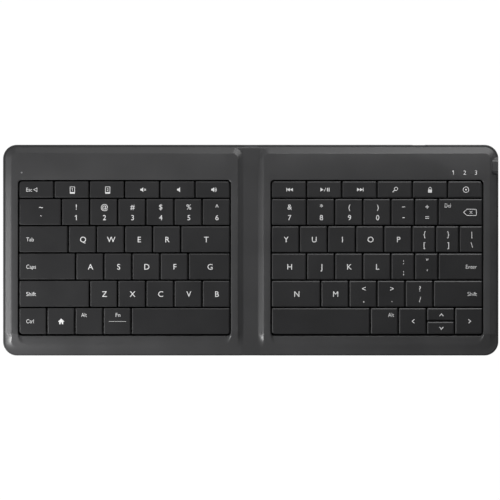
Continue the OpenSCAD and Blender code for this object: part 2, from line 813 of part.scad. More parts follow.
// Flush lenses in the deck, each with a light guide down to its lamp
module indicator_lenses() {
    guide_z = board_top + lamp[2] + core_gap;
    color("whitesmoke") for (i = [-1 : 1])
        translate([light_x + i * light_pitch, light_row_y, 0]) {
            translate([0, 0, deck_h - deck_t]) cylinder(h = deck_t, r = light_r);
            translate([0, 0, guide_z]) cylinder(h = deck_h - deck_t - guide_z + eps, r = light_r * 0.6);
        }
}

module power_button() {
    top = deck_h - button_drop;
    y0 = button_cy - button_l / 2;
    y1 = button_cy + button_l / 2;
    color(skin_grey) translate([side_x - edge_in - button_w, 0, 0])
        rotate([90, 0, 90]) linear_extrude(button_w)
            polygon([
                [y0, button_z], [y1, button_z],
                [y1, button_z + button_side], [y1 - button_slope, top],
                [y0 + button_slope, top], [y0, button_z + button_side]
            ]);
}

// ---------- Nodes ----------

left_frame();
left_base();
left_switch_plate();
left_contact_sheet();
left_key_switches();
left_battery();
left_magnets();
left_hinge_leaf();
charge_light();
spine_core();
spine_skin();
hinge_pins();
hinge_flex();
right_frame();
right_base();
right_switch_plate();
right_contact_sheet();
right_key_switches();
main_board();
usb_socket();
right_magnets();
right_hinge_leaf();
indicator_lenses();
power_button();
keys("left_function_keys");  // left_function_keys
keys("left_number_keys");  // left_number_keys
keys("left_modifier_keys");  // left_modifier_keys
keys("left_space_key");  // left_space_key
keys("right_function_keys");  // right_function_keys
keys("right_number_keys");  // right_number_keys
keys("right_symbol_keys");  // right_symbol_keys
keys("right_modifier_keys");  // right_modifier_keys
keys("right_space_key");  // right_space_key
keys("enter_key");  // enter_key
keys("key_q");  // key_q
keys("key_w");  // key_w
keys("key_e");  // key_e
keys("key_r");  // key_r
keys("key_t");  // key_t
keys("key_a");  // key_a
keys("key_s");  // key_s
keys("key_d");  // key_d
keys("key_f");  // key_f
keys("key_g");  // key_g
keys("key_z");  // key_z
keys("key_x");  // key_x
keys("key_c");  // key_c
keys("key_v");  // key_v
keys("key_b");  // key_b
keys("key_y");  // key_y
keys("key_u");  // key_u
keys("key_i");  // key_i
keys("key_o");  // key_o
keys("key_p");  // key_p
keys("key_h");  // key_h
keys("key_j");  // key_j
keys("key_k");  // key_k
keys("key_l");  // key_l
keys("key_n");  // key_n
keys("key_m");  // key_m
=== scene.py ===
import json
import math

import bmesh
import bpy
import numpy as np
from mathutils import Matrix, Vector, geometry

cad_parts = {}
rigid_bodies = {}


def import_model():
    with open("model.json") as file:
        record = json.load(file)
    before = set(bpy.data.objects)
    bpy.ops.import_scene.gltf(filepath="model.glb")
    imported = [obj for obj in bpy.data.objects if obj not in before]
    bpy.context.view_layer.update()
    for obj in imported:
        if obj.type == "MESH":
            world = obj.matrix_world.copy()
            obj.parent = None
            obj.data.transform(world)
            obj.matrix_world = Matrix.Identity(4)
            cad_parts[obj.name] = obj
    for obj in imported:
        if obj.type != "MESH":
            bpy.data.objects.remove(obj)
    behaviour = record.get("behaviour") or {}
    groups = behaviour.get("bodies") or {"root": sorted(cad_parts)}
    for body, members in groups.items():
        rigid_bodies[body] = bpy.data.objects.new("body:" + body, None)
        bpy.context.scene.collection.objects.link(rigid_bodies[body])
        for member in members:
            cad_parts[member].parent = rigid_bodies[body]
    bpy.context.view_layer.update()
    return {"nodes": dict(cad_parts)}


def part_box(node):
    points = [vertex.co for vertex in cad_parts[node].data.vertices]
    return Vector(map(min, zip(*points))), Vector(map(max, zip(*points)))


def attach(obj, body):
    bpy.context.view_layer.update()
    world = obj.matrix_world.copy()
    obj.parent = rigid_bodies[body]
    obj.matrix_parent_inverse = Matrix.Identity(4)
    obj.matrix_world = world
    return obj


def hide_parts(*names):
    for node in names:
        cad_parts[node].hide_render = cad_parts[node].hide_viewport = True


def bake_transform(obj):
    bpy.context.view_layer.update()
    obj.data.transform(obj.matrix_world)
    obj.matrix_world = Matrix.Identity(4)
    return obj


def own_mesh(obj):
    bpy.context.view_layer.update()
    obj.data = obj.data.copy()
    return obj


# A folding keyboard seen from straight above, lying open on a white floor.
# Everything is worked out in millimetres and scaled to metres when a mesh is made.

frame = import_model()

MM = 0.001


def box_mm(node):
    """Lowest and highest corner of a CAD node, in millimetres."""
    low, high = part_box(node)
    return [c / MM for c in low], [c / MM for c in high]


def islands(node):
    """Boxes (x0, y0, x1, y1) of the separate solids of a CAD node, rear row first, then by x."""
    mesh = frame["nodes"][node].data
    bm = bmesh.new()
    bm.from_mesh(mesh)
    bmesh.ops.remove_doubles(bm, verts=bm.verts, dist=1e-6)
    left = set(bm.verts)
    boxes = []
    while left:
        group = [left.pop()]
        for vert in group:
            for edge in vert.link_edges:
                other = edge.other_vert(vert)
                if other in left:
                    left.discard(other)
                    group.append(other)
        xs = [v.co.x / MM for v in group]
        ys = [v.co.y / MM for v in group]
        boxes.append((min(xs), min(ys), max(xs), max(ys)))
    bm.free()
    return sorted(boxes, key=lambda b: (-round((b[1] + b[3]) / 4), b[0]))


# ---------- Sizes, in millimetres ----------
FRAME_LOW, FRAME_HIGH = box_mm("right_frame")
SIDE = FRAME_HIGH[0]    # half the open length
REAR = FRAME_HIGH[1]    # half the depth
DECK = FRAME_HIGH[2]    # height of the flat deck
INNER = FRAME_LOW[0]    # wall of a half beside the spine
PART_Z = FRAME_LOW[2]   # joint between bottom shell and deck frame
CORNER = 8.3            # radius of the outer corners
BEND_START = 3.0        # middle to where the skin of the spine starts to bend

WALL_TOP = 2.5          # where the outer wall starts to round over
ROUND_W = 0.4           # width of that rounding
ROUND_H = 0.46          # height of that rounding
LEDGE_W = 1.4           # end of the level rim above it
LEDGE_Z = 3.0           # height at that end
RIM_FRONT = 0.95        # width of the rim along the front
BEVEL_W = 5.1           # outer edge to flat deck
DECK_IN = 7.75          # middle to flat deck
FOOT_IN = 4.35          # middle to the foot of the spine-side bevel
DECK_R = 3.2            # radius of the flat deck's rear corner beside the spine
SPINE_TOP = 3.25        # top of the soft spine
SPINE_FRONT = 3.05      # and at its front end
RAMP_Y = -49.9          # where the deck starts to fall towards the front
RAMP = 5.7              # length of that ramp
RAMP_SLOPE = 0.34       # slope at its start
LIP_SLOPE = 0.21        # slope where it runs into the front lip
LIP = 6.3               # length of the lip, which runs out level
BAND_Y = -55.5          # front of the level band before the keys
WALL_IN = 2.4           # how far the wall beside the band closes in at the front
WALL_RUN = 4.8          # length over which it closes in
WALL_FOOT = 2.8         # how wide its foot spreads
FOOT_RUN = 5.6          # length over which the foot spreads
FOOT_POWER = 1.8        # how late it spreads
FOOT_LEAST = 0.2        # its width at the rear end
WALL_LEAST = 0.3        # least width of the wall itself
SPINE_DROP_Y = 0.9      # from the end of the ramp to where the spine starts to drop
SPINE_DROP = 5          # length of that drop
RIM_TURN_Y = 2          # from the front edge to where the rim starts to widen
RIM_TURN = 8            # length over which it widens
RAMP_BLEND = 0.12       # rounding between the deck and the ramp
DECK_BLEND = 0.1        # rounding between the deck and its spine-side bevel
SPINE_BLEND = 0.12      # rounding between that bevel and the spine
RIM_BLEND = 0.08        # rounding between the deck and the outer bevel
BAND_BLEND = 0.04       # rounding between the ramp and the band before the keys
FLATTEST = 0.02         # least share of its slope that the outer bevel keeps in front
OUTER_SLOPE = (DECK - LEDGE_Z) / (BEVEL_W - LEDGE_W)
INNER_W = DECK_IN - FOOT_IN
EDGE_R = 0.4            # rounding of the key wells' upper edge
SEAM = 0.12             # chamfer on each side of the seam between the shells
HAIR = 0.01             # least gap between pieces or lines, and tolerance of a place
CUT_OUT = 2             # how far a cutter stands out of the piece that it cuts

KEY_NODES = [name for name in frame["nodes"] if name.endswith(("_keys", "_key")) or name.startswith("key_")]
KEY_BOXES = {name: islands(name) for name in KEY_NODES}
KEY_GAP = 0.92          # from the outer keys to the wall of the well
FRONT_EXTRA = 0.15      # more than that at the front
right_boxes = [b for name in KEY_NODES for b in KEY_BOXES[name] if b[0] > 0]
WELL_X0 = min(b[0] for b in right_boxes) - KEY_GAP
WELL_X1 = max(b[2] for b in right_boxes) + KEY_GAP
WELL_Y0 = min(b[1] for b in right_boxes) - KEY_GAP - FRONT_EXTRA
WELL_Y1 = max(b[3] for b in right_boxes) + KEY_GAP
WELL_R = 2.2            # radius of the wells' corners
KEY_TOP = box_mm("key_q")[1][2]

# ---------- Height of the upper surface ----------


def smooth_min(a, b, k):
    """The lower of two heights, rounded over k where they meet."""
    h = np.clip(0.5 + 0.5 * (b - a) / k, 0, 1)
    return b * (1 - h) + a * h - k * h * (1 - h)


def smooth_max(a, b, k):
    """The higher of two heights, rounded in the same way."""
    return -smooth_min(-a, -b, k)


def smooth_step(t):
    """From 0 to 1 in a soft curve."""
    t = np.clip(t, 0, 1)
    return t * t * (3 - 2 * t)


def edge_distance(x, y):
    """How far a point lies inside the rounded outer edge."""
    dx = x - (SIDE - CORNER)
    dy = np.abs(y) - (REAR - CORNER)
    corner = np.hypot(np.maximum(dx, 0), np.maximum(dy, 0))
    return CORNER - np.where((dx > 0) & (dy > 0), corner, np.maximum(dx, dy))


def edge_height(e, lift=1.0):
    """Height of the rounded edge, the rim and the bevel at a distance e inside the outer edge."""
    t = np.clip(e, 0, ROUND_W) / ROUND_W
    z = WALL_TOP + ROUND_H * np.sqrt(np.clip(1 - (1 - t) ** 2, 0, 1))
    rise = (LEDGE_Z - WALL_TOP - ROUND_H) / (LEDGE_W - ROUND_W)
    z = z + np.clip(e - ROUND_W, 0, LEDGE_W - ROUND_W) * rise
    return z + np.maximum(e - LEDGE_W, 0) * OUTER_SLOPE * lift


def front_line(y):
    """Height of the deck along y: level, down the ramp, then out along the lip."""
    q = np.clip(RAMP_Y - y, -1, RAMP)
    p = np.clip(RAMP_Y - RAMP - y, 0, LIP)
    ramp = RAMP_SLOPE * q - (RAMP_SLOPE - LIP_SLOPE) / (2 * RAMP) * q ** 2
    lip = LIP_SLOPE * (p - p ** 2 / (2 * LIP))
    return smooth_min(DECK - ramp - lip, DECK + 0 * y, RAMP_BLEND)


def spine_line(y):
    """Height of the spine along y."""
    drop = smooth_step((RAMP_Y - RAMP - SPINE_DROP_Y - y) / SPINE_DROP)
    return SPINE_TOP - (SPINE_TOP - SPINE_FRONT) * drop


def inner_share(q):
    """Share of its height that the spine-side bevel has lost at a distance q from the deck."""
    u = 1 - q / INNER_W
    straight, bowed = 0.6, 0.4
    return 1 - np.where(u < 0, straight * u, straight * u + bowed * u * u)


def bevelled_deck(x, y):
    """Height of the deck with its spine-side bevel, and of the corner where that turns to the rear."""
    top = front_line(y)
    ux = DECK_IN + DECK_R - x
    uy = y - (REAR - BEVEL_W - DECK_R)
    corner = (ux > 0) & (uy > 0)
    reach = np.hypot(np.maximum(ux, 1e-6), np.maximum(uy, 0))
    q = np.where(corner, reach, np.maximum(ux, uy)) - DECK_R
    share = np.where(corner, (ux / reach) ** 2, np.where(ux > uy, 1.0, 0.0))
    fall = share * (top - spine_line(y)) * inner_share(q) + (1 - share) * q * OUTER_SLOPE
    return smooth_min(top - fall, top, DECK_BLEND)


def front_wall(y):
    """Where the soft wall beside the front band starts and ends, inwards from the well's side."""
    q = WELL_Y0 - y
    start = WALL_IN * np.clip(q / WALL_RUN, 0, 1.1) ** 3
    spread = np.sin(np.clip((q + WELL_R) / FOOT_RUN, 0, 1) * math.pi / 2)
    end = FOOT_LEAST + WALL_FOOT * spread ** FOOT_POWER
    return start, np.maximum(end, start + WALL_LEAST)


def button_pad(y, e):
    """Height of the level pad that the power button continues, with a slope at each end."""
    z = PAD_Z - np.maximum(np.abs(y - PAD_Y) - PAD_FLAT, 0) * PAD_SLOPE
    t = np.clip((PAD_EDGE + PAD_R - e) / PAD_R, 0, 1)
    z = z - PAD_R * (1 - np.sqrt(1 - t * t))
    return np.where((e > PAD_EDGE) & (e < BEVEL_W), z, 0)


def surface(x, y):
    """Height of the whole upper surface, ignoring the key wells."""
    x = np.asarray(x, float)
    y = np.asarray(y, float)
    e = edge_distance(x, y)
    lift = np.maximum((front_line(y) - LEDGE_Z) / (DECK - LEDGE_Z), FLATTEST)
    whole = smooth_max(bevelled_deck(x, y), spine_line(y), SPINE_BLEND)
    whole = smooth_min(whole, edge_height(e, lift), RIM_BLEND)
    start, end = front_wall(y)
    width = end - start
    into = np.minimum(x - WELL_X0 - start, WELL_X1 - start - x) / width
    into = np.where(y < WELL_Y0 + WELL_R, into, 0)
    lower = smooth_min(whole, BAND_Z + 0 * y, BAND_BLEND)
    return whole + (lower - whole) * smooth_step(into)


BAND_Z = float(front_line(np.array(BAND_Y)))


# ---------- Outlines in plan ----------


def rim_width(y):
    """Width of the moulded rim outside the soft coating."""
    return RIM_FRONT + (LEDGE_W - RIM_FRONT) * smooth_step((y + REAR - RIM_TURN_Y) / RIM_TURN)


def rounded_box(x0, x1, y0, y1, radii, step=4.0, turns=14):
    """Points round a box, anticlockwise from its front left corner, denser beside the corners."""
    fl, fr, rr, rl = radii

    def side(a, b):
        a = np.array(a, float)
        b = np.array(b, float)
        count = max(6, int(np.linalg.norm(b - a) / step))
        t = 0.5 - 0.5 * np.cos(np.linspace(0, math.pi, count + 1))[:, None]
        return (a + (b - a) * t)[:-1]

    def corner(cx, cy, r, start):
        a = np.radians(start + np.linspace(0, 90, turns + 1))[:, None]
        return (np.array([cx, cy]) + r * np.hstack([np.cos(a), np.sin(a)]))[:-1]

    return np.vstack([
        side((x0 + fl, y0), (x1 - fr, y0)),
        corner(x1 - fr, y0 + fr, fr, -90),
        side((x1, y0 + fr), (x1, y1 - rr)),
        corner(x1 - rr, y1 - rr, rr, 0),
        side((x1 - rr, y1), (x0 + rl, y1)),
        corner(x0 + rl, y1 - rl, rl, 90),
        side((x0, y1 - rl), (x0, y0 + fl)),
        corner(x0 + fl, y0 + fl, fl, 180),
    ])


def half_outline(inset, inner_inset=0.0, step=4.0):
    """Outline of a half, moved inwards, and beside the spine by inner_inset."""
    r = CORNER - inset
    small = 0.25                # corner beside the spine
    return rounded_box(INNER + inner_inset, SIDE - inset, -REAR + inset, REAR - inset,
                       (small, r, r, small), step)


def rim_outline(step):
    """The line where the rim ends, moved inwards by step."""
    x, y = half_outline(0).T
    scale = 1 - (rim_width(y) + step) / CORNER
    dx = np.maximum(x - (SIDE - CORNER), 0) * scale
    dy = np.maximum(np.abs(y) - (REAR - CORNER), 0) * scale
    x = np.maximum(np.minimum(x, SIDE - CORNER) + dx, INNER + 0.6 + step)
    return np.column_stack([x, np.sign(y) * (np.minimum(np.abs(y), REAR - CORNER) + dy)])


def well_outline(grow):
    """Outline of a key well, moved outwards by grow."""
    r = WELL_R + grow
    return rounded_box(WELL_X0 - grow, WELL_X1 + grow, WELL_Y0 - grow, WELL_Y1 + grow,
                       (r, r, r, r), turns=10)


def circle(cx, cy, r, count=48):
    a = np.linspace(0, 2 * math.pi, count, endpoint=False)
    return np.stack([cx + r * np.cos(a), cy + r * np.sin(a)], axis=1)


def inside(points, loop):
    """Whether each point lies inside the closed loop."""
    x, y = points.T
    result = np.zeros(len(points), bool)
    for (ax, ay), (bx, by) in zip(loop, np.roll(loop, -1, axis=0)):
        if ay == by:
            continue
        crosses = (ay > y) != (by > y)
        result ^= crosses & (x < (bx - ax) * (y - ay) / (by - ay) + ax)
    return result


def between(points, outer, holes):
    """Whether each point lies inside the outer loop and outside the holes."""
    result = inside(points, outer)
    for hole in holes:
        result &= ~inside(points, hole)
    return result


def fill(loops, holes, loose, tolerance):
    """Points and triangles of the area inside loops[0] and outside the holes."""
    edges = []
    count = 0
    for loop in loops + holes:
        edges += [(count + i, count + (i + 1) % len(loop)) for i in range(len(loop))]
        count += len(loop)
    flat = [Vector(v) for v in np.vstack(loops + holes + loose)]
    result = geometry.delaunay_2d_cdt(flat, edges, [], 0, tolerance)
    points = np.array([tuple(v) for v in result[0]])
    middles = np.array([points[list(f)].mean(axis=0) for f in result[2]])
    return points, [f for f, k in zip(result[2], between(middles, loops[0], holes)) if k]


def grid_points(x0, x1, y0, y1, step_x, step_y):
    """Points in even rows over a box."""
    mesh = np.meshgrid(np.arange(x0, x1, step_x), np.arange(y0, y1, step_y))
    return np.stack(mesh, axis=-1).reshape(-1, 2)


def round_over(z, away, r):
    """The height z with its edge rounded, at a distance away from that edge."""
    t = np.clip(1 - away / r, 0, 1)
    return z - r * (1 - np.sqrt(np.clip(1 - t * t, 0, 1)))


# ---------- Mesh helpers ----------


def add_object(name, data):
    """An object in the scene with this data."""
    obj = bpy.data.objects.new(name, data)
    bpy.context.collection.objects.link(obj)
    return obj


def add_mesh(name, points, faces, material, mirror=False):
    """A mesh object from points in millimetres, mirrored to the left half if asked."""
    points = np.array(points, float) * MM
    if mirror:
        points[:, 0] *= -1
        faces = [tuple(reversed(face)) for face in faces]
    mesh = bpy.data.meshes.new(name)
    mesh.from_pydata(points.tolist(), [], faces)
    mesh.update()
    mesh.materials.append(material)
    return add_object(name, mesh)


def shade(obj, angle=32):
    """Smooth shading, with the edges sharper than angle left sharp."""
    mesh = obj.data
    mesh.polygons.foreach_set("use_smooth", [True] * len(mesh.polygons))
    bm = bmesh.new()
    bm.from_mesh(mesh)
    bmesh.ops.recalc_face_normals(bm, faces=bm.faces)
    limit = math.radians(angle)
    for edge in bm.edges:
        edge.smooth = len(edge.link_faces) == 2 and edge.calc_face_angle(0) < limit
    bm.to_mesh(mesh)
    bm.free()


def apply_modifiers(obj):
    """Makes the mesh with its modifiers the object's own."""
    depsgraph = bpy.context.evaluated_depsgraph_get()
    mesh = bpy.data.meshes.new_from_object(obj.evaluated_get(depsgraph))
    obj.modifiers.clear()
    old = obj.data
    obj.data = mesh
    bpy.data.meshes.remove(old)


def subtract(obj, cutters):
    """Cuts the cutters out of obj and deletes them."""
    for cutter in cutters:
        cut = obj.modifiers.new("cut", "BOOLEAN")
        cut.operation = "DIFFERENCE"
        cut.solver = "EXACT"
        cut.object = cutter
    apply_modifiers(obj)
    for cutter in cutters:
        bpy.data.objects.remove(cutter)


def extrude_down(bm, rim, z):
    """Extrudes open edges down to the height z. Gives the new points and the new open edges."""
    made = bmesh.ops.extrude_edge_only(bm, edges=rim)["geom"]
    lower = {v for v in made if isinstance(v, bmesh.types.BMVert)}
    for vert in lower:
        vert.co.z = z * MM
    return lower, [e for e in made if isinstance(e, bmesh.types.BMEdge) and lower.issuperset(e.verts)]


def coat(obj, material):
    """Makes the material the only one of a CAD node."""
    obj.data.materials.clear()
    obj.data.materials.append(material)


def block(name, x0, x1, y0, y1, z0, z1, material):
    """A plain box."""
    points = [(x, y, z) for z in (z0, z1) for x, y in ((x0, y0), (x1, y0), (x1, y1), (x0, y1))]
    faces = [(3, 2, 1, 0), (4, 5, 6, 7), (0, 1, 5, 4), (1, 2, 6, 5), (2, 3, 7, 6), (3, 0, 4, 7)]
    return add_mesh(name, points, faces, material)


def bevel(obj, width, segments=2, angle=30):
    """Softens the edges sharper than angle."""
    mod = obj.modifiers.new("edges", "BEVEL")
    mod.width = width * MM
    mod.segments = segments
    mod.limit_method = "ANGLE"
    mod.angle_limit = math.radians(angle)


# ---------- Materials ----------

BLOTCH_SCALE = 45.0     # blotches in a metre
BLOTCH_LOW = 0.3        # lower end of the noise that colours and roughens
BLOTCH_HIGH = 0.7       # and its upper end


def add_node(tree, kind, values):
    """A new node with these values for its inputs."""
    node = tree.nodes.new("ShaderNode" + kind)
    for name, value in values.items():
        node.inputs[name].default_value = value
    return node


def blotch_range(tree, middle, reach):
    """A node that spreads the blotches over a value, from middle - reach to middle + reach."""
    return add_node(tree, "MapRange", {"From Min": BLOTCH_LOW, "From Max": BLOTCH_HIGH,
                                       "To Min": middle - reach, "To Max": middle + reach})


def node_material(name, color, rough, grain=0.25, grain_mm=0.35, bump=0.03, spread=0.06,
                  metallic=0.0, specular=0.5):
    """A moulded surface: fine grain in the bump, faint blotches in colour and roughness."""
    mat = bpy.data.materials.new(name)
    mat.use_nodes = True
    tree = mat.node_tree
    tree.nodes.clear()
    out = add_node(tree, "OutputMaterial", {})
    bsdf = add_node(tree, "BsdfPrincipled", {"Metallic": metallic, "Specular IOR Level": specular})
    coords = add_node(tree, "TexCoord", {})
    blotch = add_node(tree, "TexNoise", {"Scale": BLOTCH_SCALE, "Detail": 5.0})
    tint = blotch_range(tree, 1, spread)
    colour = add_node(tree, "VectorMath", {0: color})
    colour.operation = "SCALE"
    polish = blotch_range(tree, rough, spread / 2)
    fine = add_node(tree, "TexNoise", {"Scale": 1 / (grain_mm * MM), "Detail": 3.0})
    relief = add_node(tree, "Bump", {"Strength": grain, "Distance": bump * MM})
    for start, output, end, value in (
            (coords, "Object", blotch, "Vector"), (coords, "Object", fine, "Vector"),
            (blotch, "Fac", tint, "Value"), (blotch, "Fac", polish, "Value"),
            (fine, "Fac", relief, "Height"), (tint, "Result", colour, "Scale"),
            (colour, "Vector", bsdf, "Base Color"), (polish, "Result", bsdf, "Roughness"),
            (relief, "Normal", bsdf, "Normal"), (bsdf, "BSDF", out, "Surface")):
        tree.links.new(start.outputs[output], end.inputs[value])
    return mat


CHARCOAL = (0.058, 0.058, 0.0595)
SOFT_TOUCH = node_material("soft_touch_shell", CHARCOAL, 0.36, grain=0.35, bump=0.02)
RIM = node_material("moulded_rim", (0.034, 0.034, 0.035), 0.40, grain=0.12, bump=0.02)
SKIN = node_material("spine_skin", (0.050, 0.050, 0.0515), 0.38, grain=0.5, grain_mm=0.5)
KEYCAP = node_material("keycap", (0.025, 0.025, 0.026), 0.38, grain=0.3, bump=0.015)
PRINT = node_material("legend_print", (0.80, 0.80, 0.80), 0.55, grain=0.2, spread=0.03, specular=0.3)
LENS = node_material("indicator_lens", CHARCOAL, 0.34, grain=0.1)
GLOW = node_material("light_lens", (0.30, 0.30, 0.31), 0.30, grain=0.1)
BUTTON = node_material("button_skin", CHARCOAL, 0.36, grain=0.35, bump=0.02)
# contact sheet: its own dark colour, darkened further as painted shade so that the gaps between the keys
# look as dark as the shade deep in them
SHEET_WITH_GAP_SHADE = node_material("contact_sheet", (0.004, 0.004, 0.0045), 0.45, grain=0.2, specular=0.2)
PLATE = node_material("switch_plate", (0.35, 0.35, 0.36), 0.38, metallic=1.0, grain=0.15)
SWITCH = node_material("key_switch", (0.012, 0.012, 0.013), 0.45, grain=0.2)
FOIL = node_material("battery_foil", (0.45, 0.46, 0.48), 0.32, metallic=0.9, grain=0.5, grain_mm=2.0)
MAGNET = node_material("magnet", (0.50, 0.50, 0.49), 0.28, metallic=1.0, grain=0.1)
HINGE = node_material("hinge_metal", (0.20, 0.20, 0.21), 0.35, metallic=1.0, grain=0.3)
BAR = node_material("spine_bar", (0.10, 0.10, 0.105), 0.45, metallic=0.6, grain=0.3)
PIN = node_material("pin_steel", (0.55, 0.55, 0.56), 0.25, metallic=1.0, grain=0.1)
FLEX = node_material("flex_cable", (0.28, 0.10, 0.02), 0.40, grain=0.2)
BOARD = node_material("circuit_board", (0.015, 0.06, 0.03), 0.40, grain=0.3)
SOCKET = node_material("socket_steel", (0.50, 0.50, 0.51), 0.25, metallic=1.0, grain=0.15)
FLOOR = node_material("floor_paper", (0.02, 0.02, 0.02), 0.9, grain=0.05, spread=0.0, specular=0.0)
glow = FLOOR.node_tree.nodes["Principled BSDF"]
glow.inputs["Emission Color"].default_value = (1, 1, 1, 1)
glow.inputs["Emission Strength"].default_value = 1.0

NODE_MATERIALS = {
    "switch_plate": PLATE, "contact_sheet": SHEET_WITH_GAP_SHADE, "key_switches": SWITCH, "battery": FOIL,
    "magnets": MAGNET, "hinge_leaf": HINGE, "spine_core": BAR, "hinge_pins": PIN,
    "hinge_flex": FLEX, "main_board": BOARD, "usb_socket": SOCKET,
}


def dress_nodes():
    """Gives the CAD nodes inside the keyboard their materials."""
    for name, obj in frame["nodes"].items():
        for ending, mat in NODE_MATERIALS.items():
            if name.endswith(ending):
                coat(obj, mat)


# ---------- Deck frames ----------

BUTTON_LOW, BUTTON_HIGH = box_mm("power_button")
USB_LOW, USB_HIGH = box_mm("usb_socket")
SLACK = 0.1             # room round the button and the charging socket
LIGHT_SLACK = 0.04      # room round the charging light
LENS_SLACK = 0.05       # room round the three lights
PAD_Z = BUTTON_HIGH[2]  # height of the level pad round the button
PAD_Y = (BUTTON_LOW[1] + BUTTON_HIGH[1]) / 2 + 0.35  # its middle
PAD_FLAT = 2.85         # half the length of its level part
PAD_SLOPE = 0.85        # slope of its ends
PAD_EDGE = SIDE - BUTTON_HIGH[0]  # outer edge to the pad
PAD_R = 0.3             # rounding of its outer edge
TRAVEL = 0.5            # room under the button
EDGE_STEPS = (0.03, 0.08, 0.15, 0.25, 0.4, 0.65)  # loops of points over the rounded edge,
BEVEL_STEPS = (1.9, 2.7, 3.5, 4.3, 4.85, 5.1, 5.35)  # over the bevel, from the outer edge,
RIM_STEPS = (-0.1, 0.0, 0.1)  # at the end of the rim
WELL_STEPS = (0.0, 0.12, 0.4, 1.0)  # and round a well, as shares of EDGE_R
SPINE_SHARE = 0.4       # how far a loop stands in beside the spine, as a share of its inset
FRONT_END = WELL_Y0 + 2.8  # rear end of the detailed ground at the front
POINT_GRID = 0.25       # cells that near points are looked up in
POINT_NEAR = 0.02       # least distance between two points, squared


def flat_material_faces(bm):
    """Gives the faces of the rim and the wall below it the second material."""
    for face in bm.faces:
        middle = face.calc_center_median() / MM
        x, y = np.array(abs(middle.x)), np.array(middle.y)
        if edge_distance(x, y) < rim_width(y) - HAIR:
            face.material_index = 1


def round_places(node):
    """Middle and radius of each round solid of a node."""
    return [((x0 + x1) / 2, (y0 + y1) / 2, (x1 - x0) / 2) for x0, y0, x1, y1 in islands(node)]


def plan_points():
    """Loops that the mesh of a frame follows, and loose points between them."""
    loops = [half_outline(0)]
    loops += [half_outline(e, HAIR + e * SPINE_SHARE) for e in EDGE_STEPS]
    loops += [rim_outline(step) for step in RIM_STEPS]
    loops += [half_outline(e, HAIR + e * SPINE_SHARE) for e in BEVEL_STEPS]
    front = -REAR + 1.2
    left_end, right_end = 15.5, WELL_X1 - 3.9
    # x0, x1, y0, y1 and the steps in x and y, of the front corners, the front between them, the
    # spine-side bevel and its rear corner
    areas = [
        (INNER + 0.2, left_end, front, FRONT_END, 0.28, 0.28),
        (right_end, SIDE - 0.9, front, FRONT_END, 0.28, 0.28),
        (left_end, right_end, front, WELL_Y0, 6.0, 0.35),
        (INNER + 0.15, 8.6, FRONT_END, REAR - 14, 0.2, 3.0),
        (INNER + 0.15, 14.0, REAR - 13.0, REAR - 1.6, 0.3, 0.3),
    ]
    return loops, np.vstack([grid_points(*area) for area in areas])


def triangulate(loops, holes, loose):
    """Fills the area with those of the loose points that lie in it and not too near a loop."""
    cell = {}
    for point in np.vstack(loops + holes):
        place = (round(point[0] / POINT_GRID), round(point[1] / POINT_GRID))
        cell.setdefault(place, []).append(point)
    keep = []
    for point in loose:
        cx, cy = round(point[0] / POINT_GRID), round(point[1] / POINT_GRID)
        near = [p for i in (-1, 0, 1) for j in (-1, 0, 1) for p in cell.get((cx + i, cy + j), ())]
        if all((p[0] - point[0]) ** 2 + (p[1] - point[1]) ** 2 > POINT_NEAR for p in near):
            keep.append(point)
    keep = np.array(keep)
    return fill(loops, holes, [keep[between(keep, loops[0], holes)]], 1e-5)


